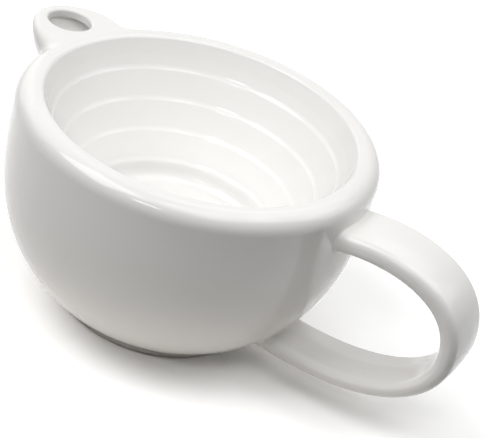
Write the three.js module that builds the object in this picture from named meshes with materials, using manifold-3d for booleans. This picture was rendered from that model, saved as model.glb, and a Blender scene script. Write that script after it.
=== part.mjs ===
// A shaving scuttle in white glazed porcelain: a lather bowl hung inside a pot that holds hot water.
// Millimetres, +Z up. The pot stands on its foot ring at z = 0, and the handle points along +X.

import * as THREE from 'three';
import { mergeVertices } from 'three/addons/utils/BufferGeometryUtils.js';
import Module from 'manifold-3d';

const wasm = await Module();
wasm.setup();

// Pot
const potRadius = 58;            // widest radius, a little under the rim
const potHeight = 71;            // from the table to the top of the rim
const widestDrop = 12.5;         // from the top of the rim to where the belly starts to curve in
const bellySink = 3.6;           // the belly's curve would close this far under the table
const bellyFullness = 2.4;       // exponent of that curve: 2 is an ellipse, more is fuller
const shellWall = 3.8;
const seam = 0.3;                // luted joint between two pieces

// Foot
const footHeight = 2.6;
const footInset = 0.6;           // the foot stands this far inside the pot's lower edge
const footWidth = 5.6;
const footEdge = 0.8;

// Rim
const rimWidth = 8;
const rimHeight = 5.6;
const rimOuterRound = 5.2;
const rimInnerRound = 1.1;

// Lather bowl
const bowlWall = 3.2;
const ridgeCount = 4;
const firstRidgeDepth = 9.9;     // from the top of the rim to the first ridge
const ridgePitch = 8.8;          // height from one ridge to the next
const ridgeStep = 4.9;           // each ridge stands this much further in than the one above it
const ledgeWidth = 2.4;          // the ledge that slopes down to each ridge
const ledgeFall = 1.1;
const ridgeRound = 1.6;
const ledgeRound = 2.6;
const bowlFloorDrop = 5.6;       // from the last ridge to the edge of the bowl's floor
const bowlFloorInset = 1.2;
const bowlFloorRound = 5;
const bowlDish = 0.8;            // the floor is this much lower in the middle

// Spout
const spoutAngle = 165;          // degrees round from the handle
const spoutReach = 17.5;         // how far the tip stands out from the pot
const spoutHalfWidth = 18;
const spoutDepth = 19.4;         // from the rim down to where the underside meets the pot
const spoutFullness = 1.65;      // exponent of the underside's curve
const spoutPoint = 1.7;          // exponent of the plan outline: under 2 it draws to a point
const spoutSlimming = 0.27;      // share of the width that is left at the lower end
const spoutSetback = 6;          // centre of the plan outline, inside the pot's radius
const spoutEdge = 2.9;           // rounding round the top
const spoutWall = 3;
const fillRadius = 7.1;          // hole through which the hot water goes in and out
const fillReach = 6.2;           // centre of that hole, outside the pot's radius
const throatDrop = 11.4;         // from the rim's top to the middle of the opening into the pot
const throatHalfWidth = 8;
const throatHalfHeight = 4.2;

// Handle: a strap whose middle line is two curves that meet where it stands out furthest
const handleReach = 41.8;        // middle of the strap, outside the pot's radius
const handleBowHeight = 38.3;
const handleTopDrop = 14.1;      // from the top of the rim to the middle of the strap's upper end
const handleTopBend = { out: 15.2, drop: 8.1 };
const handleShoulderDrop = 10.9;
const handleHeelHeight = 22.6;
const handleLowBend = { out: 22, height: 8.4 };
const handleLowHeight = 12.7;
const strapTopWidth = 23;
const strapLowWidth = 18.6;
const strapThickness = 6.9;
const strapRound = 2.9;

// Fineness of the curves
const turnSteps = 52;
const arcSteps = 4;
const bellySteps = 12;
const strapSteps = 16;
const spoutSteps = 9;
const spoutPoints = 30;
const holeSteps = 28;

const porcelain = { color: 0xf4f3ef, roughness: 0.12, metalness: 0 };
const bareClay = { color: 0xe4ddcf, roughness: 0.7, metalness: 0 };

// Places that follow from the sizes
const widestHeight = potHeight - widestDrop;
const bellyDepth = widestHeight + bellySink;
const openingRadius = potRadius - rimWidth;
const seamHeight = potHeight - rimHeight;
const wallTop = seamHeight - seam;
const shellBase = footHeight + seam;
const footRadius = potRadiusAt(shellBase) - footInset;
const throatHeight = potHeight - throatDrop;
const spoutLow = potHeight - spoutDepth;

// Outer radius of the pot at a height.
function potRadiusAt(z) {
  const drop = Math.max(0, widestHeight - z) / bellyDepth;
  return potRadius * Math.pow(1 - Math.pow(drop, bellyFullness), 1 / bellyFullness);
}

// Profile through corners [r, z, rounding]: a rounded corner becomes an arc.
function roundedProfile(corners) {
  const points = [];
  corners.forEach(([r, z, round], i) => {
    const corner = new THREE.Vector2(r, z);
    if (!round) {
      points.push(corner);
      return;
    }
    const back = new THREE.Vector2(...corners[i - 1]).sub(corner);
    const ahead = new THREE.Vector2(...corners[i + 1]).sub(corner);
    const half = Math.acos(back.dot(ahead) / (back.length() * ahead.length())) / 2;
    const room = 0.49 * Math.min(back.length(), ahead.length());
    const reach = Math.min(round / Math.tan(half), room);
    const start = corner.clone().addScaledVector(back.normalize(), reach);
    const end = corner.clone().addScaledVector(ahead.normalize(), reach);
    const centre = corner.clone().addScaledVector(back.add(ahead).normalize(), reach / Math.cos(half));
    const from = start.sub(centre);
    const turn = Math.sign(from.cross(end.sub(centre))) * (Math.PI - 2 * half);
    for (let k = 0; k <= arcSteps; k++) {
      points.push(from.clone().rotateAround(new THREE.Vector2(), turn * k / arcSteps).add(centre));
    }
  });
  return points;
}

// Curve moved sideways by a distance, to the left of its own direction.
function offsetCurve(points, distance) {
  return points.map((p, i) => {
    const before = points[Math.max(i - 1, 0)];
    const after = points[Math.min(i + 1, points.length - 1)];
    const along = after.clone().sub(before).normalize();
    return new THREE.Vector2(p.x - along.y * distance, p.y + along.x * distance);
  });
}

function revolve(profile) {
  return new THREE.LatheGeometry(profile, turnSteps).rotateX(Math.PI / 2);
}

// Skin over rings of points, closed by a fan across each end ring.
function loft(rings) {
  const count = rings[0].length;
  const index = [];
  for (let i = 0; i < rings.length - 1; i++) {
    for (let k = 0; k < count; k++) {
      const a = i * count + k;
      const b = i * count + (k + 1) % count;
      index.push(a, b, b + count, a, b + count, a + count);
    }
  }
  const last = (rings.length - 1) * count;
  for (let k = 1; k < count - 1; k++) {
    index.push(0, k + 1, k, last, last + k, last + k + 1);
  }
  const geometry = new THREE.BufferGeometry().setFromPoints(rings.flat());
  geometry.setIndex(index);
  return geometry;
}

function toSolid(geometry) {
  const bare = geometry.clone();
  bare.deleteAttribute('normal');
  bare.deleteAttribute('uv');
  const merged = mergeVertices(bare, 1e-4);
  const corners = merged.index.array;
  const triangles = [];
  for (let i = 0; i < corners.length; i += 3) {
    const [a, b, c] = corners.slice(i, i + 3);
    if (a !== b && b !== c && c !== a) triangles.push(a, b, c);
  }
  return new wasm.Manifold(new wasm.Mesh({
    numProp: 3,
    vertProperties: new Float32Array(merged.attributes.position.array),
    triVerts: new Uint32Array(triangles),
  }));
}

function toGeometry(solid) {
  const mesh = solid.getMesh();
  const geometry = new THREE.BufferGeometry();
  geometry.setAttribute('position', new THREE.BufferAttribute(mesh.vertProperties, 3));
  geometry.setIndex(new THREE.BufferAttribute(mesh.triVerts, 1));
  geometry.computeVertexNormals();
  return geometry;
}

// Outer line of the pot, from its base up to the seam under the rim.
function potOutline() {
  const points = [];
  for (let k = 0; k <= bellySteps; k++) {
    const z = shellBase + (widestHeight - shellBase) * Math.sin(Math.PI / 2 * k / bellySteps);
    points.push(new THREE.Vector2(potRadiusAt(z), z));
  }
  points.push(new THREE.Vector2(potRadius, wallTop));
  return points;
}

// Pot and rim as one block, grown by the seam, which trims what is luted on outside.
function potEnvelope() {
  const side = offsetCurve(potOutline(), -seam);
  const top = roundedProfile([
    [potRadius + seam, wallTop],
    [potRadius + seam, potHeight + seam, rimOuterRound + seam],
    [0, potHeight + seam],
  ]);
  const base = new THREE.Vector2(0, side[0].y);
  return toSolid(revolve([base, ...side, ...top.slice(1)]));
}

// Oval section of the spout at a height, with its lower end at low, drawn in by a margin all round.
function spoutSection(z, low, margin) {
  const rise = (z - low) / (potHeight - low);
  const swell = Math.pow(1 - Math.pow(1 - rise, spoutFullness), 1 / spoutFullness);
  const centre = potRadius - spoutSetback;
  const length = potRadiusAt(z) + spoutReach * swell - centre - margin;
  const width = spoutHalfWidth * (spoutSlimming + (1 - spoutSlimming) * swell) - margin;
  const ring = [];
  for (let k = 0; k < spoutPoints; k++) {
    const angle = 2 * Math.PI * k / spoutPoints;
    const along = Math.cos(angle);
    const across = Math.sin(angle);
    const u = centre + length * Math.sign(along) * Math.pow(Math.abs(along), 2 / spoutPoint);
    const v = width * Math.sign(across) * Math.pow(Math.abs(across), 2 / spoutPoint);
    ring.push(new THREE.Vector3(u, v, z));
  }
  return ring;
}

// The spout's underside from its lower end up to a height.
function spoutRings(low, high, margin) {
  const rings = [];
  for (let k = 1; k <= spoutSteps; k++) {
    rings.push(spoutSection(low + (high - low) * Math.pow(k / spoutSteps, 1.5), low, margin));
  }
  return rings;
}

function turnedToSpout(geometry) {
  return geometry.rotateZ(THREE.MathUtils.degToRad(spoutAngle));
}

// Opening between the spout and the water in the pot.
function throat() {
  const geometry = new THREE.CylinderGeometry(1, 1, 4 * shellWall, holeSteps);
  geometry.rotateX(Math.PI / 2);
  geometry.scale(throatHalfWidth, throatHalfHeight, 1);
  geometry.rotateX(Math.PI / 2).rotateZ(Math.PI / 2);
  geometry.translate(potRadius - shellWall / 2, 0, throatHeight);
  return toSolid(turnedToSpout(geometry));
}

function makeFootRing() {
  const inner = footRadius - footWidth;
  const middle = footRadius - footWidth / 2;
  return toSolid(revolve(roundedProfile([
    [middle, 0],
    [footRadius, 0, footEdge],
    [footRadius, footHeight],
    [inner, footHeight],
    [inner, 0, footEdge],
    [middle, 0],
  ])));
}

function makeOuterShell() {
  const outside = potOutline();
  const floor = shellBase + shellWall;
  const inside = offsetCurve(outside, shellWall).reverse();
  inside.forEach((p) => p.setY(Math.max(p.y, floor)));
  return toSolid(revolve([
    new THREE.Vector2(0, shellBase),
    ...outside,
    ...inside,
    new THREE.Vector2(0, floor),
  ])).subtract(throat());
}

function makeRimRing() {
  const middle = (openingRadius + potRadius) / 2;
  return toSolid(revolve(roundedProfile([
    [middle, seamHeight],
    [potRadius, seamHeight],
    [potRadius, potHeight, rimOuterRound],
    [openingRadius, potHeight, rimInnerRound],
    [openingRadius, seamHeight],
    [middle, seamHeight],
  ])));
}

function makeInnerBowl() {
  const ridges = [];
  for (let i = 0; i < ridgeCount; i++) {
    ridges.push({
      r: openingRadius - ridgeStep * (i + 1),
      z: potHeight - firstRidgeDepth - ridgePitch * i,
    });
  }
  const lastRidge = ridges[ridgeCount - 1];
  const floorEdge = lastRidge.z - bowlFloorDrop;
  const floorMiddle = floorEdge - bowlDish;

  // The back of the wall steps in with the ridges, one wall thickness away.
  const slope = ledgeFall / ledgeWidth;
  const down = bowlWall * (Math.hypot(1, slope) - slope);
  const back = ridges.map(({ r, z }) => ({ r: r + bowlWall, z: z - down })).reverse();
  const floorCorner = lastRidge.r - bowlFloorInset;
  const base = floorMiddle - bowlWall;

  return toSolid(revolve(roundedProfile([
    [0, base],
    [floorCorner + bowlWall, base, bowlFloorRound + bowlWall],
    ...back.flatMap(({ r, z }) => [
      [r, z],
      [r + ledgeWidth, z + ledgeFall],
    ]),
    [openingRadius + bowlWall, wallTop],
    [openingRadius, wallTop],
    ...ridges.flatMap(({ r, z }) => [
      [r + ledgeWidth, z + ledgeFall, ledgeRound],
      [r, z, ridgeRound],
    ]),
    [floorCorner, floorEdge, bowlFloorRound],
    [0, floorMiddle],
  ])));
}

function makeSpout() {
  const body = spoutRings(spoutLow, potHeight - spoutEdge, 0);
  for (let k = 1; k <= arcSteps; k++) {
    const a = Math.PI / 2 * k / arcSteps;
    const z = potHeight - spoutEdge * (1 - Math.sin(a));
    body.push(spoutSection(z, spoutLow, spoutEdge * (1 - Math.cos(a))));
  }
  const hollow = spoutRings(spoutLow + spoutWall, potHeight - spoutWall, spoutWall);
  const fillHole = new THREE.CylinderGeometry(fillRadius, fillRadius, 3 * spoutWall, holeSteps);
  fillHole.rotateX(Math.PI / 2).translate(potRadius + fillReach, 0, potHeight);
  return toSolid(turnedToSpout(loft(body)))
    .subtract(toSolid(turnedToSpout(loft(hollow))))
    .subtract(toSolid(turnedToSpout(fillHole)))
    .subtract(potEnvelope());
}

function makeHandle() {
  const bow = potRadius + handleReach;
  const upper = new THREE.CubicBezierCurve(
    new THREE.Vector2(potRadius - shellWall, potHeight - handleTopDrop),
    new THREE.Vector2(potRadius + handleTopBend.out, potHeight - handleTopBend.drop),
    new THREE.Vector2(bow, potHeight - handleShoulderDrop),
    new THREE.Vector2(bow, handleBowHeight),
  );
  const lower = new THREE.CubicBezierCurve(
    new THREE.Vector2(bow, handleBowHeight),
    new THREE.Vector2(bow, handleHeelHeight),
    new THREE.Vector2(potRadius + handleLowBend.out, handleLowBend.height),
    new THREE.Vector2(potRadiusAt(handleLowHeight) - shellWall, handleLowHeight),
  );
  const halfThickness = strapThickness / 2;
  const rings = [];
  for (let k = 0; k <= 2 * strapSteps; k++) {
    const curve = k <= strapSteps ? upper : lower;
    const t = (k <= strapSteps ? k : k - strapSteps) / strapSteps;
    const middle = curve.getPoint(t);
    const along = curve.getTangent(t);
    const half = THREE.MathUtils.lerp(strapTopWidth, strapLowWidth, k / (2 * strapSteps)) / 2;
    const section = roundedProfile([
      [0, halfThickness],
      [-half, halfThickness, strapRound],
      [-half, -halfThickness, strapRound],
      [half, -halfThickness, strapRound],
      [half, halfThickness, strapRound],
      [0, halfThickness],
    ]).slice(0, -1);
    rings.push(section.map((p) => new THREE.Vector3(
      middle.x - along.y * p.y,
      p.x,
      middle.y + along.x * p.y,
    )));
  }
  return toSolid(loft(rings)).subtract(potEnvelope());
}

function piece(name, solid, finish) {
  const mesh = new THREE.Mesh(toGeometry(solid), new THREE.MeshStandardMaterial(finish));
  mesh.name = name;
  return mesh;
}

const scuttle = new THREE.Group();
scuttle.add(
  piece('foot_ring', makeFootRing(), bareClay),
  piece('outer_shell', makeOuterShell(), porcelain),
  piece('inner_bowl', makeInnerBowl(), porcelain),
  piece('rim_ring', makeRimRing(), porcelain),
  piece('spout', makeSpout(), porcelain),
  piece('handle', makeHandle(), porcelain),
);

// The origin is under the middle of the whole outline, on the table.
const outline = new THREE.Box3().setFromObject(scuttle);
scuttle.position.x = -(outline.min.x + outline.max.x) / 2;
scuttle.position.y = -(outline.min.y + outline.max.y) / 2;

export default scuttle;
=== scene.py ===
import math
import bmesh
import bpy
import numpy as np
from mathutils import Matrix, Vector


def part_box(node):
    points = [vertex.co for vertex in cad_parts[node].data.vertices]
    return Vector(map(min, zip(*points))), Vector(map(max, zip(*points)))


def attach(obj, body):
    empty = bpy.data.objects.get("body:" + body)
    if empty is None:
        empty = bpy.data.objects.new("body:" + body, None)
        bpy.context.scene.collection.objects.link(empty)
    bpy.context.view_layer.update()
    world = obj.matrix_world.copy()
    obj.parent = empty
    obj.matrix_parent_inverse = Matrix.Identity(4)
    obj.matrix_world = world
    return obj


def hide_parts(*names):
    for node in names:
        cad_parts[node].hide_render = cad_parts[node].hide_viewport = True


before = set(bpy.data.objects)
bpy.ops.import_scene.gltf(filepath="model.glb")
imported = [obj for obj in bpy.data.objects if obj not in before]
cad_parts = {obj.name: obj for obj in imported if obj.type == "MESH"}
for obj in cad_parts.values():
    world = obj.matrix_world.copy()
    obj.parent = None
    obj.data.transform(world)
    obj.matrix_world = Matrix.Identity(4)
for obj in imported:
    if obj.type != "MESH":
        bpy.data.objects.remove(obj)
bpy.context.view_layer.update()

# A white glazed shaving scuttle. Sizes are in millimetres, from the pot's own axis and the foot's lowest face.
rimLow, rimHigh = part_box("rim_ring")
potAxis = (rimLow + rimHigh) / 2
potAxis.z = 0

pot = {
    "radius": 58.0,
    "height": 71.0,
    "widest": 58.5,          # height under which the belly curves in
    "depth": 62.1,
    "fullness": 2.4,
    "wall": 3.8,
    "seam": 65.4,            # height at which the rim is luted on
    "base": 2.9,
    "floor": 6.7,
    "baseRound": 0.8,
    "sideTop": 62.0,         # last ring of the side under the seam
    "floorRadius": 30.0,     # the jacket's flat floor, and its rounding into the wall
    "floorRound": 4.0,
    "wallFoot": 14.0,        # lowest ring of the wall's inside
    "turnSteps": 192,
    "bellySteps": 44,
}
proud = 0.03                 # how far the spout's and handle's skins stand over the pot where they run out on it


def radiusAt(z):
    drop = np.clip(pot["widest"] - np.asarray(z, float), 0, None) / pot["depth"]
    return pot["radius"] * (1 - drop ** pot["fullness"]) ** (1 / pot["fullness"])


weldDistance = 1e-4          # millimetres
sharpAngle = 35              # degrees between two faces from which an edge is shaded as sharp


# Makes a piece of a bmesh in millimetres, smooth but for its sharp edges, in the place of a CAD node.
def finishPiece(bm, name, node):
    bmesh.ops.remove_doubles(bm, verts=bm.verts, dist=weldDistance)
    bmesh.ops.recalc_face_normals(bm, faces=bm.faces)
    for face in bm.faces:
        face.smooth = True
    for edge in bm.edges:
        edge.smooth = not (edge.is_manifold and edge.calc_face_angle() > math.radians(sharpAngle))
    bmesh.ops.scale(bm, vec=(0.001, 0.001, 0.001), verts=bm.verts)
    bmesh.ops.translate(bm, vec=potAxis, verts=bm.verts)
    mesh = bpy.data.meshes.new(name)
    bm.to_mesh(mesh)
    bm.free()
    piece = bpy.data.objects.new(name, mesh)
    bpy.context.scene.collection.objects.link(piece)
    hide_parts(node)
    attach(piece, "root")
    return piece


# Turns a profile of corners (radius, height, rounding) round the pot's axis.
def turnProfile(corners, closed=False, roundSteps=12):
    bm = bmesh.new()
    line = [bm.verts.new((r, 0, z)) for r, z, *_ in corners]
    for a, b in zip(line, line[1:] + line[:1] if closed else line[1:]):
        bm.edges.new((a, b))
    for vert, corner in zip(line, corners):
        if len(corner) < 3:
            continue
        arms = [(edge.other_vert(vert).co - vert.co).normalized() for edge in vert.link_edges]
        half = arms[0].angle(arms[1]) / 2
        bmesh.ops.bevel(bm, geom=[vert], offset=corner[2] / math.tan(half), segments=roundSteps,
                        profile=0.5, affect="VERTICES", offset_type="OFFSET", material=-1)
    bmesh.ops.spin(bm, geom=bm.verts[:] + bm.edges[:], cent=(0, 0, 0), axis=(0, 0, 1), dvec=(0, 0, 0),
                   angle=2 * math.pi, steps=pot["turnSteps"], use_merge=True)
    return bm


# Foot ring
foot = {
    "outer": 31.0,
    "inner": 25.4,
    "edge": 0.8,
    "flare": 0.7,            # the glaze gathers where the foot meets the pot
    "flareRound": 0.6,
    "sunk": 0.4,             # how far the foot goes into the pot's base
}


def makeFootRing():
    top = pot["base"] + foot["sunk"]
    corners = [
        (foot["inner"], 0.0, foot["edge"]),
        (foot["outer"], 0.0, foot["edge"]),
        (foot["outer"], pot["base"] - foot["flare"], foot["flareRound"]),
        (foot["outer"] + foot["flare"], top),
        (foot["inner"] - foot["flare"], top),
        (foot["inner"], pot["base"] - foot["flare"], foot["flareRound"]),
    ]
    return finishPiece(turnProfile(corners, closed=True, roundSteps=6), "footRing", "foot_ring")


# Turns what is made along X to where the spout is.
def turnToSpout(bm):
    turn = Matrix.Rotation(math.radians(spout["angle"]), 3, "Z")
    bmesh.ops.rotate(bm, cent=(0, 0, 0), matrix=turn, verts=bm.verts)


# Outside wall and floor of the pot
throat = {
    "height": 59.6,
    "halfWidth": 8.0,
    "halfHeight": 4.2,
    "depth": 16.0,           # length of the drill that cuts it, and how far its middle lies inside the pot's side
    "inset": 2.0,
    "sides": 64,
}


def makeOuterWall():
    lift = np.sin(np.linspace(0, math.pi / 2, pot["bellySteps"] + 1))
    heights = pot["base"] + (pot["widest"] - pot["base"]) * lift
    outside = [(float(radiusAt(z)), float(z)) for z in heights]
    outside[0] = (outside[0][0], pot["base"], pot["baseRound"])
    outside += [(pot["radius"], pot["sideTop"]), (pot["radius"], pot["seam"])]
    inside = [(pot["radius"] - pot["wall"], pot["seam"]), (pot["radius"] - pot["wall"], pot["widest"])]
    inside += [(float(radiusAt(z)) - pot["wall"], float(z)) for z in heights[-2::-1] if z > pot["wallFoot"]]
    inside += [(pot["floorRadius"], pot["floor"], pot["floorRound"]), (0.0, pot["floor"])]
    wall = finishPiece(turnProfile([(0.0, pot["base"])] + outside + inside, roundSteps=4),
                       "outerWall", "outer_shell")
    bm = bmesh.new()
    bmesh.ops.create_cone(bm, cap_ends=True, segments=throat["sides"], radius1=1, radius2=1, depth=throat["depth"])
    bmesh.ops.scale(bm, vec=(throat["halfHeight"], throat["halfWidth"], 1), verts=bm.verts)
    bmesh.ops.rotate(bm, cent=(0, 0, 0), matrix=Matrix.Rotation(math.pi / 2, 3, "Y"), verts=bm.verts)
    bmesh.ops.translate(bm, vec=(pot["radius"] - throat["inset"], 0, throat["height"]), verts=bm.verts)
    turnToSpout(bm)
    bmesh.ops.scale(bm, vec=(0.001, 0.001, 0.001), verts=bm.verts)
    bmesh.ops.translate(bm, vec=potAxis, verts=bm.verts)
    drillMesh = bpy.data.meshes.new("throatDrill")
    bm.to_mesh(drillMesh)
    bm.free()
    drill = bpy.data.objects.new("throatDrill", drillMesh)
    bpy.context.scene.collection.objects.link(drill)
    cut = wall.modifiers.new("throat", "BOOLEAN")
    cut.operation = "DIFFERENCE"
    cut.solver = "EXACT"
    cut.object = drill
    bpy.context.view_layer.update()
    done = bpy.data.meshes.new_from_object(wall.evaluated_get(bpy.context.evaluated_depsgraph_get()))
    wall.modifiers.clear()
    wall.data = done
    bpy.data.objects.remove(drill)
    return wall


# Rolled rim
rim = {
    "inner": 50.0,
    "throat": 47.6,          # the rim's inner face draws in to the bowl
    "outerRound": 5.8,
    "innerRound": 1.5,
    "top": 70.97,            # a hair under the spout's top, which runs out on it
}


def makeRim():
    corners = [
        (rim["throat"], pot["seam"]),
        (pot["radius"], pot["seam"]),
        (pot["radius"], rim["top"], rim["outerRound"]),
        (rim["inner"], rim["top"], rim["innerRound"]),
    ]
    return finishPiece(turnProfile(corners, closed=True, roundSteps=18), "rolledRim", "rim_ring")


# Lather bowl with its ridges
bowl = {
    "wall": 3.2,
    "ridges": 4,
    "firstDrop": 9.9,
    "pitch": 8.8,
    "step": 4.9,
    "ledgeWidth": 0.85,
    "ledgeFall": 0.92,
    "ridgeRound": 2.0,
    "ledgeRound": 4.4,
    "floorDrop": 5.6,
    "floorInset": 1.2,
    "floorRound": 5.0,
    "backRound": 8.0,        # rounding under the floor's edge
    "dish": 0.8,
}


def makeLatherBowl():
    ridges = [(rim["inner"] - bowl["step"] * (i + 1), pot["height"] - bowl["firstDrop"] - bowl["pitch"] * i)
              for i in range(bowl["ridges"])]
    slope = bowl["ledgeFall"] / bowl["ledgeWidth"]
    down = bowl["wall"] * (math.hypot(1, slope) - slope)
    edgeRadius = ridges[-1][0] - bowl["floorInset"]
    edgeHeight = ridges[-1][1] - bowl["floorDrop"]
    base = edgeHeight - bowl["dish"] - bowl["wall"]
    corners = [(0.0, base), (edgeRadius + bowl["wall"], base, bowl["backRound"])]
    for r, z in reversed(ridges):
        corners += [(r + bowl["wall"], z - down),
                    (r + bowl["wall"] + bowl["ledgeWidth"], z - down + bowl["ledgeFall"])]
    corners += [(rim["inner"] + bowl["wall"], pot["seam"]), (rim["throat"], pot["seam"])]
    for r, z in ridges:
        corners += [(r + bowl["ledgeWidth"], z + bowl["ledgeFall"], bowl["ledgeRound"]), (r, z, bowl["ridgeRound"])]
    corners += [(edgeRadius, edgeHeight, bowl["floorRound"])]
    for share in (0.75, 0.6, 0.45, 0.3, 0.15):
        corners.append((edgeRadius * share, edgeHeight - bowl["dish"] * (1 - share ** 2)))
    corners.append((0.0, edgeHeight - bowl["dish"]))
    return finishPiece(turnProfile(corners, roundSteps=10), "latherBowl", "inner_bowl")


slopeStep = 0.01             # millimetres up and down for the slope of the pot's side


# Distance in millimetres to the pot's side, negative within it.
def sideDistance(r, z):
    slope = (radiusAt(z + slopeStep) - radiusAt(z - slopeStep)) / (2 * slopeStep)
    return (r - radiusAt(z)) / np.sqrt(1 + slope ** 2)


# The same with the rolled rim on top.
def potDistance(r, z):
    centre = (pot["radius"] - rim["outerRound"], pot["height"] - rim["outerRound"])
    rolled = np.hypot(np.clip(r - centre[0], 0, None), z - centre[1]) - rim["outerRound"]
    return np.where(z > centre[1], rolled, sideDistance(r, z))


# Smaller of two distances, with a fillet of about that size between the two surfaces.
def filleted(a, b, size):
    near = np.clip(size - np.abs(a - b), 0, None)
    return np.minimum(a, b) - near ** 2 / (4 * size)


# Where a rising function reaches zero between two ends: false position, with the end that stays made lighter.
def solveRising(function, low, high, rounds=12):
    low, high = np.array(low, float), np.array(high, float)
    under, over = function(low), function(high)
    kept = np.zeros(np.shape(under))
    for _ in range(rounds):
        share = np.clip(under / np.where(under == over, 1, under - over), 0.001, 0.999)
        middle = low + (high - low) * share
        value = function(middle)
        above = value > 0
        over = np.where(above, value, np.where(kept < 0, over / 2, over))
        under = np.where(above, np.where(kept > 0, under / 2, under), value)
        kept = np.where(above, 1, -1)
        high, low = np.where(above, middle, high), np.where(above, low, middle)
    share = np.clip(under / np.where(under == over, 1, under - over), 0, 1)
    return low + (high - low) * share


# The way into the pot's wall from a point on its outside.
def intoPot(x, y, z):
    r = math.hypot(x, y)
    centre = (pot["radius"] - rim["outerRound"], pot["height"] - rim["outerRound"])
    if r <= centre[0]:
        out, up = 0, 1
    else:
        out, up = (r - centre[0], z - centre[1]) if z > centre[1] else (1, 0)
    length = math.hypot(out, up)
    return Vector((-x / r * out / length, -y / r * out / length, -up / length))


# Lays a grid on given places: place[column][row].
def layGrid(bm, place):
    columns, rows = len(place) - 1, len(place[0]) - 1
    verts = bmesh.ops.create_grid(bm, x_segments=columns, y_segments=rows, size=1)["verts"]
    grid = {}
    for vert in verts:
        column, row = round((vert.co.x + 1) / 2 * columns), round((vert.co.y + 1) / 2 * rows)
        vert.co = place[column][row]
        grid[column, row] = vert
    return grid


def edgesAlong(verts, closed=False):
    pairs = zip(verts, verts[1:] + verts[:1] if closed else verts[1:])
    return [next(e for e in a.link_edges if e.other_vert(a) == b) for a, b in pairs]


# Spout, in its own directions: along it, across it and up
spout = {
    "angle": 165.0,
    "reach": 17.0,
    "halfWidth": 18.0,
    "depth": 19.4,
    "fullness": 1.65,
    "point": 1.8,
    "slimming": 0.27,
    "setback": 6.0,
    "swells": (-0.12, 3.0),  # between which shares of its full outline a point is looked for
    "edge": 2.4,
    "wall": 3.0,
    "floorWall": 4.8,        # the spout is thicker underneath
    "holeRadius": 7.1,
    "holeReach": 5.8,
    "holeEdge": 1.0,
    "fillet": 4.0,
    "columns": 108,
    "edgeRows": 14,
    "sideRows": 44,
    "spread": 84.0,          # how far round the skin goes to each side, in degrees
    "root": 50.0,            # its rays start this far out on the spout's middle line, at this level
    "level": 64.0,
    "rayLength": 40.0,
    "steepRayLength": 44.0,
    "edgeWidens": (40, 76),  # degrees off the middle over which its edge takes on the rim's rounding
    "edgeSpan": (-9.0, 3.0), # between which distances from the outline its rows are looked for
    "runOutRoom": 0.3,       # the skin ends where the fillet does, and this much further on
    "runOutTurn": 1.5,
    "steepest": 76,          # degrees down to which it goes at most, and at least
    "least": 16,
    "smoothing": 9,          # columns over which the end is evened out
    "flatInset": 0.35,       # first row in from the rounded edge
    "backRadius": 51.8,      # back edge of the top, on the rim's flat
    "backSteps": 40,
    "holeSides": 72,
    "holeRow": 0.3,          # first row out from the hole's rounding
    "sunk": 1.6,             # the skin's border goes this far into the wall
    "hollowRadius": 56.4,    # the hollow ends at the pot's wall
    "hollowSteepest": 78,
    "hollowRows": 40,
}


spoutStep = 0.05             # millimetres each way for the directions of its surface


# Below zero in the beak and above it outside, but not a distance yet.
def beakForm(u, v, z):
    centre = pot["radius"] - spout["setback"]
    rho = radiusAt(z)
    along = (np.sqrt((u - centre) ** 2 + 1) - 1) ** spout["point"]
    across = (np.sqrt(v ** 2 + 1) - 1) ** spout["point"]
    slim = spout["slimming"]

    def outside(swell):
        length = np.maximum(rho + spout["reach"] * swell - centre - 1, 0.5)
        width = np.maximum(spout["halfWidth"] * (slim + (1 - slim) * swell) - 1, 0.5)
        return 1 - along / length ** spout["point"] - across / width ** spout["point"]

    least, most = spout["swells"]
    swell = solveRising(outside, np.full(np.shape(u), least), np.full(np.shape(u), most), 14)
    deep = np.clip(pot["height"] - z, 0, None) / spout["depth"]
    return (np.clip(swell, 0, None) ** spout["fullness"] + deep ** spout["fullness"]) ** (1 / spout["fullness"]) - 1


def beakDistance(u, v, z):
    u, v, z = np.broadcast_arrays(np.asarray(u, float), np.asarray(v, float), np.asarray(z, float))
    form, step = beakForm(u, v, z), spoutStep
    gradient = [(beakForm(u + a, v + b, z + c) - beakForm(u - a, v - b, z - c)) / (2 * step)
                for a, b, c in ((step, 0, 0), (0, step, 0), (0, 0, step))]
    return form / np.maximum(np.sqrt(sum(g ** 2 for g in gradient)), 1e-4)


def spoutSide(u, v, z):
    return filleted(sideDistance(np.hypot(u, v), z), beakDistance(u, v, z), spout["fillet"])


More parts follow.
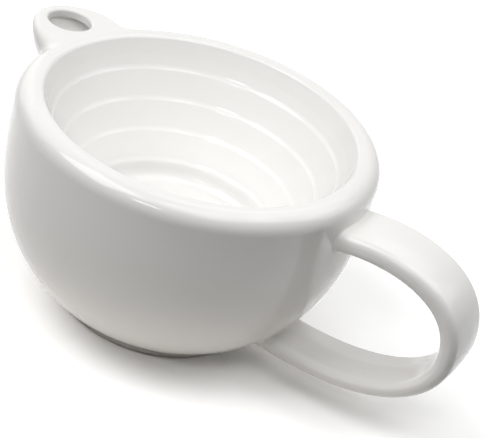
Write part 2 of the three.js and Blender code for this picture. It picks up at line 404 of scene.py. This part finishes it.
def makeSpout():
    root, level = spout["root"], spout["level"]
    turn = np.radians(np.linspace(-spout["spread"], spout["spread"], spout["columns"] + 1))
    cos, sin = np.cos(turn), np.sin(turn)
    begin, full = spout["edgeWidens"]
    wide = np.clip((np.degrees(np.abs(turn)) - begin) / (full - begin), 0, 1)
    edge = spout["edge"] + (rim["outerRound"] - spout["edge"]) * wide ** 2 * (3 - 2 * wide)

    def reachOut(z, target, distance=spoutSide):
        t = solveRising(lambda t: distance(root + t * cos, t * sin, z) - target,
                        np.zeros_like(turn), np.full_like(turn, spout["rayLength"]))
        return root + t * cos, t * sin

    def underAt(lean, target, distance):
        def place(t):
            return root + t * cos * np.cos(lean), t * sin * np.cos(lean), level - t * np.sin(lean)
        return place(solveRising(lambda t: distance(*place(t)) - target,
                                 np.zeros_like(turn), np.full_like(turn, spout["steepRayLength"])))

    rows = []
    # Top edge: in from the outline along its own normal while it rises to the top
    shoulder = pot["height"] - edge
    u0, v0 = reachOut(shoulder, proud)
    du = spoutSide(u0 + spoutStep, v0, shoulder) - spoutSide(u0 - spoutStep, v0, shoulder)
    dv = spoutSide(u0, v0 + spoutStep, shoulder) - spoutSide(u0, v0 - spoutStep, shoulder)
    length = np.hypot(du, dv)
    du, dv = du / length, dv / length
    inmost, outmost = spout["edgeSpan"]
    for a in np.linspace(math.pi / 2, 0, spout["edgeRows"] + 1):
        z = shoulder + edge * math.sin(a)
        inward = edge * (1 - math.cos(a))
        d = solveRising(lambda d: spoutSide(u0 + d * du, v0 + d * dv, z) - proud + inward,
                        np.full_like(turn, inmost), np.full_like(turn, outmost), 10)
        rows.append((u0 + d * du, v0 + d * dv, z + 0 * u0))
    u, v, z = rows[0]
    rows.insert(0, (u - spout["flatInset"] * du, v - spout["flatInset"] * dv, z))
    for share in (0.33, 0.67):
        z = shoulder + (level - shoulder) * share
        u, v = reachOut(z, proud)
        rows.append((u, v, z))
    # Underside: rays that lean down, as far as the fillet runs on the pot
    leans = np.radians(np.linspace(0, spout["steepest"], spout["steepest"] + 1))
    runsOut = np.zeros_like(turn)
    found = np.zeros(len(turn), bool)
    for lean in leans:
        u, v, z = underAt(lean, proud, spoutSide)
        apart = beakDistance(u, v, z) - sideDistance(np.hypot(u, v), z)
        clear = apart > spout["fillet"] + spout["runOutRoom"]
        runsOut = np.where(~found & clear, lean, runsOut)
        found |= clear
    runsOut = np.where(found, runsOut, leans[-1])
    last = np.maximum(runsOut + math.radians(spout["runOutTurn"]), math.radians(spout["least"]))
    width = spout["smoothing"]
    last = np.convolve(np.pad(last, width // 2, mode="edge"), np.ones(width) / width, mode="valid")
    print("spout runs out at", np.round(np.degrees(last[::9]), 0).tolist())
    for share in np.linspace(0, 1, spout["sideRows"] + 1):
        rows.append(underAt(last * share, proud, spoutSide))
    outside = np.array([np.stack(np.broadcast_arrays(*row), axis=-1) for row in rows]).transpose(1, 0, 2)

    bm = bmesh.new()
    skin = layGrid(bm, outside)
    top = [skin[i, 0] for i in range(len(outside))]
    # Back edge of the top, on the rim's flat
    ends = [math.atan2(vert.co.y, vert.co.x) for vert in (top[0], top[-1])]
    backRadius = spout["backRadius"]
    back = [bm.verts.new((backRadius * math.cos(a), backRadius * math.sin(a), pot["height"]))
            for a in np.linspace(ends[1], ends[0], spout["backSteps"] + 1)]
    outline = top + back
    for a, b in zip([top[-1]] + back, back + [top[0]]):
        bm.edges.new((a, b))
    centre = pot["radius"] + spout["holeReach"]
    holeRadius, holeEdge = spout["holeRadius"], spout["holeEdge"]
    hole = bmesh.ops.create_circle(bm, segments=spout["holeSides"],
                                   radius=holeRadius + holeEdge + spout["holeRow"])["verts"]
    bmesh.ops.translate(bm, vec=(centre, 0, pot["height"]), verts=hole)
    loop = edgesAlong(hole, True)
    bmesh.ops.triangle_fill(bm, edges=edgesAlong(outline, True) + loop, use_beauty=True, normal=(0, 0, 1))
    # Hole's rounded edge and its wall
    steps = [(holeRadius + holeEdge * (1 - math.sin(a)), pot["height"] - holeEdge * (1 - math.cos(a)))
             for a in np.linspace(0, math.pi / 2, 7)]
    ceiling = pot["height"] - spout["wall"]
    steps += [(holeRadius, ceiling + 1.0), (holeRadius, ceiling + 0.2), (holeRadius + 0.2, ceiling)]
    for radius, z in steps:
        made = bmesh.ops.extrude_edge_only(bm, edges=loop)["geom"]
        loop = [e for e in made if isinstance(e, bmesh.types.BMEdge)]
        for vert in {v for e in loop for v in e.verts}:
            away = Vector((vert.co.x - centre, vert.co.y)).normalized()
            vert.co = (centre + away.x * radius, away.y * radius, z)
    lip = set(loop)
    # Skin's outer border goes down into the wall
    border = [e for e in bm.edges if e.is_boundary and e not in lip]
    made = bmesh.ops.extrude_edge_only(bm, edges=border)["geom"]
    sunk = [e for e in made if isinstance(e, bmesh.types.BMEdge) and e.is_boundary]
    for vert in {v for e in sunk for v in e.verts}:
        vert.co += intoPot(*vert.co) * spout["sunk"]
    # Hollow
    inner = []
    for z in np.linspace(ceiling, level, 5)[:-1]:
        inner.append((*reachOut(z, -spout["wall"], beakDistance), z + 0 * turn))
    for lean in np.radians(np.linspace(0, spout["hollowSteepest"], spout["hollowRows"])):
        thick = spout["wall"] + (spout["floorWall"] - spout["wall"]) * math.sin(lean)
        inner.append(underAt(lean, -thick, beakDistance))
    inside = np.array([np.stack(row, axis=-1) for row in inner]).transpose(1, 0, 2)
    short = np.maximum(spout["hollowRadius"] / np.hypot(inside[..., 0], inside[..., 1]), 1)
    inside[..., :2] *= short[..., None]
    hollow = layGrid(bm, inside)
    front = [hollow[i, 0] for i in range(len(inside))]
    chord = bm.edges.new((front[-1], front[0]))
    bmesh.ops.triangle_fill(bm, edges=edgesAlong(front) + [chord] + loop, use_beauty=True, normal=(0, 0, -1))
    buried = set(sunk)
    loose = [e for e in bm.edges if e.is_boundary and e not in buried]
    bmesh.ops.bridge_loops(bm, edges=sunk + loose)
    print("spout open edges", sum(e.is_boundary for e in bm.edges), "in", len(bm.faces), "faces")
    turnToSpout(bm)
    return finishPiece(bm, "beakSpout", "spout")


# Strap handle: its middle line is two curves in the upright plane through the pot's axis
handle = {
    "start": (54.2, 57.8),
    "topBends": ((73.2, 63.1), (99.65, 60.1)),
    "bow": (99.65, 38.3),
    "lowBends": ((99.65, 22.6), (80.0, 8.5)),
    "lowHeight": 12.7,
    "topWidth": 23.0,
    "lowWidth": 18.6,
    "thickness": 7.2,
    "round": 2.8,
    "crown": 0.35,
    "crownLean": 0.12,        # how far the crowned face's direction leans out at its edges
    "softening": 0.55,        # share of the thickness that the lower limb loses along its inner near edge
    "topFillet": 1.0,
    "lowFillet": 1.2,
    "softens": (0.6, 0.9),    # where along the strap that begins, and over what length; its bow is at 1
    "topSpan": (-0.45, 0.6),  # between which places along it the ends meet the pot
    "lowSpan": (2.3, 1.45),
    "sunk": 1.6,              # the strap's ends go this far into the pot's wall
    "filletRows": 12,
    "strapRows": 110,
}


def strapLine(t):
    low = (float(radiusAt(handle["lowHeight"])) - pot["wall"], handle["lowHeight"])
    upper = np.array([handle["start"], *handle["topBends"], handle["bow"]])
    lower = np.array([handle["bow"], *handle["lowBends"], low])
    t = np.asarray(t, float)[..., None]
    first = t < 1
    s = np.where(first, t, t - 1)
    p = [np.where(first, upper[i], lower[i]) for i in range(4)]
    place = p[0] * (1 - s) ** 3 + 3 * p[1] * s * (1 - s) ** 2 + 3 * p[2] * s ** 2 * (1 - s) + p[3] * s ** 3
    along = 3 * ((p[1] - p[0]) * (1 - s) ** 2 + 2 * (p[2] - p[1]) * s * (1 - s) + (p[3] - p[2]) * s ** 2)
    return place, along / np.linalg.norm(along, axis=-1, keepdims=True)


# Outline of the strap's section round it: share across the half width, then millimetres off that and off the middle
def strapSection():
    half, corner = handle["thickness"] / 2 - handle["crown"], handle["round"]
    turns = np.linspace(0, math.pi / 2, 8)
    points = []
    for side in (1, -1):
        for share in np.linspace(-1, 1, 15):
            points.append((side * share, 0, side * (handle["thickness"] / 2 - handle["crown"] * share ** 2),
                           side * handle["crownLean"] * share, side))
        arc = [(side, a) for a in turns[1:]] + [(-side, a) for a in turns[:0:-1]]
        for i, (face, a) in enumerate(arc):
            if i == len(turns) - 1:
                points.append((side, side * corner, 0, side, 0))
            points.append((side, side * corner * math.sin(a), face * (half - corner + corner * math.cos(a)),
                           side * math.sin(a), face * math.cos(a)))
    return np.array(points).T


def strapPoint(t, offset, section):
    share, across, up, normalAcross, normalUp = section
    place, along = strapLine(t)
    width = handle["topWidth"] + (handle["lowWidth"] - handle["topWidth"]) * np.clip(t, 0, 2) / 2
    start, length = handle["softens"]
    softer = handle["softening"] * np.clip((t - start) / length, 0, 1)
    up = np.where(up < 0, up * (1 - softer * np.clip(-share, 0, 1) ** 1.2), up)
    y = share * (width / 2 - handle["round"]) + across + normalAcross * offset
    n = up + normalUp * offset
    x = place[..., 0] - along[..., 1] * n
    z = place[..., 1] + along[..., 0] * n
    return x, y, z


def makeHandle():
    section = strapSection()
    count = section.shape[1]

    def ringAt(potTarget, offset, low, high, rising):
        sign = 1 if rising else -1

        def over(t):
            x, y, z = strapPoint(sign * t, offset, section)
            return potDistance(np.hypot(x, y), z) - potTarget
        return sign * solveRising(over, np.full(count, sign * low), np.full(count, sign * high))

    def fillet(size, low, high, rising):
        rows = [(-handle["sunk"], size)]
        for c in np.linspace(-size, size, 2 * handle["filletRows"] + 1):
            m = (size - abs(c)) ** 2 / (4 * size)
            rows.append((max(m, proud), m - c) if c < 0 else (m + c, m))
        return [(ringAt(a, b, low, high, rising), b) for a, b in rows]

    top = fillet(handle["topFillet"], *handle["topSpan"], True)
    low = fillet(handle["lowFillet"], *handle["lowSpan"], False)
    start, end = top[-1][0], low[-1][0]
    shares = np.linspace(0, 1, handle["strapRows"] + 1)[1:-1]
    rings = top + [(start + (end - start) * share, 0.0) for share in shares] + low[::-1]
    place = np.array([np.stack(strapPoint(t, offset, section), axis=-1) for t, offset in rings]).transpose(1, 0, 2)
    place = np.concatenate([place, place[:1]])
    bm = bmesh.new()
    layGrid(bm, place)
    bmesh.ops.remove_doubles(bm, verts=bm.verts, dist=weldDistance)
    bmesh.ops.holes_fill(bm, edges=[e for e in bm.edges if e.is_boundary], sides=0)
    bmesh.ops.triangulate(bm, faces=[f for f in bm.faces if len(f.verts) > 4])
    print("handle open edges", sum(e.is_boundary for e in bm.edges), "in", len(bm.faces), "faces")
    return finishPiece(bm, "strapHandle", "handle")


# Shader maths: a wire is one socket of a material's nodes
class Wire:
    def __init__(self, tree, socket=None):
        self.tree = tree
        self.socket = socket

    def add(self, kind, settings=None, values=None, output=0):
        made = self.tree.nodes.new(kind)
        for key, value in (settings or {}).items():
            setattr(made, key, value)
        for key, value in (values or {}).items():
            if isinstance(value, Wire):
                self.tree.links.new(value.socket, made.inputs[key])
            else:
                made.inputs[key].default_value = value
        return Wire(self.tree, made.outputs[output] if made.outputs else None)

    def maths(self, operation, a, b):
        return self.add("ShaderNodeMath", {"operation": operation}, {0: a, 1: b})

    def __add__(self, other):
        return self.maths("ADD", self, other)

    def __sub__(self, other):
        return self.maths("SUBTRACT", self, other)

    def __mul__(self, other):
        return self.maths("MULTIPLY", self, other)

    def __truediv__(self, other):
        return self.maths("DIVIDE", self, other)

    def __rsub__(self, other):
        return self.maths("SUBTRACT", other, self)

    __radd__ = __add__
    __rmul__ = __mul__


def newMaterial(name):
    material = bpy.data.materials.new(name)
    material.use_nodes = True
    material.node_tree.nodes.clear()
    return material, Wire(material.node_tree)


def noise(wire, place, scale, detail):
    return wire.add("ShaderNodeTexNoise", {"noise_dimensions": "3D"},
                    {"Vector": place, "Scale": scale, "Detail": detail, "Roughness": 0.5})


def colourMix(wire, share, a, b):
    return wire.add("ShaderNodeMix", {"data_type": "RGBA"}, {0: share, 6: a, 7: b}, output=2)


def distanceTo(wire, place, point):
    return wire.add("ShaderNodeVectorMath", {"operation": "DISTANCE"}, {0: place, 1: point}, output=1)


def heightOf(wire, place):
    return wire.add("ShaderNodeSeparateXYZ", values={0: place}, output=2)


def softStep(wire, value, low, high):
    return wire.add("ShaderNodeMapRange", {"interpolation_type": "SMOOTHSTEP"},
                    {"Value": value, "From Min": low, "From Max": high, "To Min": 0.0, "To Max": 1.0})


# Noises have a scale per metre, a detail and a share; patches also have the two levels between which they end.
glaze = {
    "white": (0.905, 0.893, 0.872, 1),
    "thick": (0.875, 0.873, 0.858, 1),    # where the glaze has run together it is a little cooler
    "warm": (0.893, 0.868, 0.83, 1),
    "speck": (0.62, 0.56, 0.46, 1),
    "pools": (38, 3, 0.4, 0.38, 0.68),
    "flow": (14, 2, 0.3, 0.35, 0.7),
    "specks": (900, 1, 0.25, 0.76, 0.82),
    "paintedBowlLight": (0.92, 0.91, 0.89, 1),      # painted light: the bowl's inside is painted whiter than the glaze elsewhere
    "mouth": (0.0485, 0.0515),            # metres from the pot's axis over which the painted light fades out
    "paintedBowlShade": (0.81, 0.802, 0.785, 1),      # painted shade: the bowl is painted darker towards its floor
    # metres up over which the painted shade in the bowl fades out
    "paintedBowlShadeHeight": (0.028, 0.040),
    "roughness": 0.09,
    "smears": (60, 2, 0.05),              # added to the roughness
    "waves": (110, 2, 0.7),
    "ripples": (420, 1, 0.3),
    "bumpStrength": 0.35,
    "bumpHeight": 0.00012,
    "clay": (0.74, 0.69, 0.60, 1),
    "clayDark": (0.60, 0.55, 0.46, 1),
    "clayGrain": (1500, 4),
    "clayRoughness": 0.75,
    "bareBelow": 0.0007,                  # metres: glaze is wiped off under this height on the foot
    "bareFade": 0.0004,
    "ragged": (260, 3, 0.0006),
}


def waver(wire, place, scale, detail, share):
    return noise(wire, place, scale, detail) * share


def patches(wire, place, scale, detail, share, low, high):
    return softStep(wire, noise(wire, place, scale, detail), low, high) * share


def glazeMaterial(name, bareFoot=False, paintBowlLightAndShade=False):
    material, wire = newMaterial(name)
    place = wire.add("ShaderNodeTexCoord", output=3)
    colour = colourMix(wire, patches(wire, place, *glaze["pools"]), glaze["white"], glaze["thick"])
    colour = colourMix(wire, patches(wire, place, *glaze["flow"]), colour, glaze["warm"])
    colour = colourMix(wire, patches(wire, place, *glaze["specks"]), colour, glaze["speck"])
    # Painted light and painted shade: the bowl is painted whiter inside its mouth and darker towards its floor.
    if paintBowlLightAndShade:
        apart = wire.add("ShaderNodeVectorMath", {"operation": "MULTIPLY"}, {0: place, 1: (1, 1, 0)})
        radius = distanceTo(wire, apart, potAxis)
        colour = colourMix(wire, 1 - softStep(wire, radius, *glaze["mouth"]), colour, glaze["paintedBowlLight"])
        # Painted shade: darker towards the bowl's floor.
        paintedBowlShade = 1 - softStep(wire, heightOf(wire, place), *glaze["paintedBowlShadeHeight"])
        colour = colourMix(wire, paintedBowlShade, colour, glaze["paintedBowlShade"])
    roughness = glaze["roughness"] + waver(wire, place, *glaze["smears"])
    ripple = waver(wire, place, *glaze["waves"]) + waver(wire, place, *glaze["ripples"])
    if bareFoot:
        height = heightOf(wire, place) + waver(wire, place, *glaze["ragged"])
        bare = 1 - softStep(wire, height, glaze["bareBelow"], glaze["bareBelow"] + glaze["bareFade"])
        grain = noise(wire, place, *glaze["clayGrain"])
        clay = colourMix(wire, grain, glaze["clay"], glaze["clayDark"])
        colour = colourMix(wire, bare, colour, clay)
        roughness = roughness * (1 - bare) + bare * glaze["clayRoughness"]
        ripple = ripple * (1 - bare) + grain * bare
    bump = wire.add("ShaderNodeBump", values={
        "Strength": glaze["bumpStrength"], "Distance": glaze["bumpHeight"], "Height": ripple})
    surface = wire.add("ShaderNodeBsdfPrincipled", values={
        "Base Color": colour, "Roughness": roughness, "IOR": 1.5, "Normal": bump})
    wire.add("ShaderNodeOutputMaterial", values={"Surface": surface})
    return material


def dress(piece, material):
    piece.data.materials.clear()
    piece.data.materials.append(material)


print("turning the pot")
footRing = makeFootRing()
outerWall = makeOuterWall()
rolledRim = makeRim()
latherBowl = makeLatherBowl()
print("shaping the spout and handle")
beakSpout = makeSpout()
strapHandle = makeHandle()
print("glazing")
whiteGlaze = glazeMaterial("whiteGlaze")
bowlGlazePaintedLight = glazeMaterial("bowlGlazePaintedLight", paintBowlLightAndShade=True)
footGlaze = glazeMaterial("footGlaze", bareFoot=True)
for piece in (outerWall, beakSpout, strapHandle):
    dress(piece, whiteGlaze)
for piece in (rolledRim, latherBowl):
    dress(piece, bowlGlazePaintedLight)
dress(footRing, footGlaze)

# Table that the pot stands on
table = {
    "size": 400.0,
    "drop": 0.1,                           # a hair under the foot's face
    "near": (0.87, 0.85, 0.815, 1),        # as the pot's light sees it: a pale sheet under and round the pot
    "far": (0.12, 0.12, 0.12, 1),
    "sheet": (0.085, 0.17),                # metres from the pot's axis over which the sheet ends
    "shown": (1.42, 1.42, 1.42, 1),        # as the camera sees it
}


# Rays that see a pale backdrop and don't carry light on: the camera's, and those mirrored or let through
def shownRays(wire):
    rays = wire.add("ShaderNodeLightPath")
    seen = rays
    for name in ("Is Glossy Ray", "Is Transmission Ray"):
        seen = seen + Wire(wire.tree, rays.socket.node.outputs[name])
    return rays, seen


def makeTable():
    bm = bmesh.new()
    bmesh.ops.create_circle(bm, cap_ends=True, segments=96, radius=table["size"] / 1000)
    bmesh.ops.translate(bm, vec=potAxis - Vector((0, 0, table["drop"])) / 1000, verts=bm.verts)
    mesh = bpy.data.meshes.new("paleTable")
    bm.to_mesh(mesh)
    bm.free()
    top = bpy.data.objects.new("paleTable", mesh)
    bpy.context.scene.collection.objects.link(top)
    material, wire = newMaterial("paleTable")
    rays, seen = shownRays(wire)
    place = wire.add("ShaderNodeTexCoord", output=3)
    tone = colourMix(wire, softStep(wire, distanceTo(wire, place, potAxis), *table["sheet"]),
                     table["near"], table["far"])
    plain = wire.add("ShaderNodeBsdfDiffuse", values={"Color": tone})
    shown = wire.add("ShaderNodeBsdfDiffuse", values={"Color": table["shown"]})
    both = wire.add("ShaderNodeMixShader", values={0: seen, 1: plain, 2: shown})
    under = wire.add("ShaderNodeNewGeometry", output=6)
    clear = wire.add("ShaderNodeBsdfTransparent")
    surface = wire.add("ShaderNodeMixShader", values={0: under * rays, 1: both, 2: clear})
    wire.add("ShaderNodeOutputMaterial", values={"Surface": surface})
    dress(top, material)


# Soft lamps over the table: degrees round to the camera's left, degrees up, metres off and across, and watts.
# The spark is a low strip that the ridges mirror.
lamps = {
    "spark": {"round": 18, "high": 40, "far": 1.0, "across": 0.25, "tall": 0.07, "power": 0.85},
    "top": {"round": 0, "high": 72, "far": 1.0, "across": 0.7, "power": 1.3},
    "highRight": {"round": -60, "high": 72, "far": 1.0, "across": 0.7, "power": 2.6},
    "left": {"round": 67, "high": 54, "far": 1.0, "across": 0.6, "power": 4.6},
    "backRight": {"round": -112, "high": 54, "far": 1.0, "across": 0.6, "power": 1.3},
    "lowRight": {"round": -112, "high": 36, "far": 1.0, "across": 0.55, "power": 0.9},
    "behind": {"round": -157, "high": 54, "far": 1.0, "across": 0.6, "power": 0.9},
    "backLeft": {"round": 112, "high": 36, "far": 1.0, "across": 0.55, "power": 0.6},
    "lowBackLeft": {"round": 140, "high": 18, "far": 1.0, "across": 0.6, "power": 0.7},
}
lampCentre = Vector((0, 0, 0.035))      # what the lamps point at, over the pot's axis
worldLevel = 0.01
cameraRound = 20.63                     # degrees


def makeLamp(name, lamp):
    data = bpy.data.lights.new(name, "AREA")
    data.shape = "RECTANGLE"
    data.size, data.size_y = lamp["across"], lamp.get("tall", lamp["across"])
    data.energy = lamp["power"]
    made = bpy.data.objects.new(name, data)
    made.visible_camera = False
    bpy.context.scene.collection.objects.link(made)
    around = math.radians(cameraRound - lamp["round"])
    high = math.radians(lamp["high"])
    away = Vector((math.sin(around) * math.cos(high), -math.cos(around) * math.cos(high), math.sin(high)))
    made.location = potAxis + lampCentre + away * lamp["far"]
    made.rotation_mode = "QUATERNION"
    made.rotation_quaternion = (-away).to_track_quat("-Z", "Y")


def makeWorld():
    world = bpy.data.worlds.new("softRoom")
    bpy.context.scene.world = world
    world.use_nodes = True
    world.node_tree.nodes.clear()
    wire = Wire(world.node_tree)
    _, seen = shownRays(wire)
    room = wire.add("ShaderNodeBackground", values={"Color": (0.97, 0.985, 1, 1), "Strength": worldLevel})
    white = wire.add("ShaderNodeBackground", values={"Color": (1, 1, 1, 1), "Strength": 1.0})
    surface = wire.add("ShaderNodeMixShader", values={0: seen, 1: room, 2: white})
    wire.add("ShaderNodeOutputWorld", values={"Surface": surface})


camera = {
    "place": (0.1859, -0.4696, 0.3442),
    "right": (0.84579, 0.47416, 0.24458),
    "up": (-0.43937, 0.35897, 0.82346),
    "back": (0.30266, -0.80394, 0.51194),
    "lens": 134.77,
}


def makeCamera():
    data = bpy.data.cameras.new("photoCamera")
    data.lens = camera["lens"]
    data.sensor_width = 36
    data.clip_start, data.clip_end = 0.01, 50
    made = bpy.data.objects.new("photoCamera", data)
    bpy.context.scene.collection.objects.link(made)
    turn = Matrix((camera["right"], camera["up"], camera["back"])).transposed()
    made.matrix_world = Matrix.Translation(camera["place"]) @ turn.to_4x4()
    bpy.context.scene.camera = made


print("setting the table, lamps and camera")
makeTable()
for name, lamp in lamps.items():
    makeLamp(name, lamp)
makeWorld()
makeCamera()
bpy.context.scene.view_settings.view_transform = "Standard"
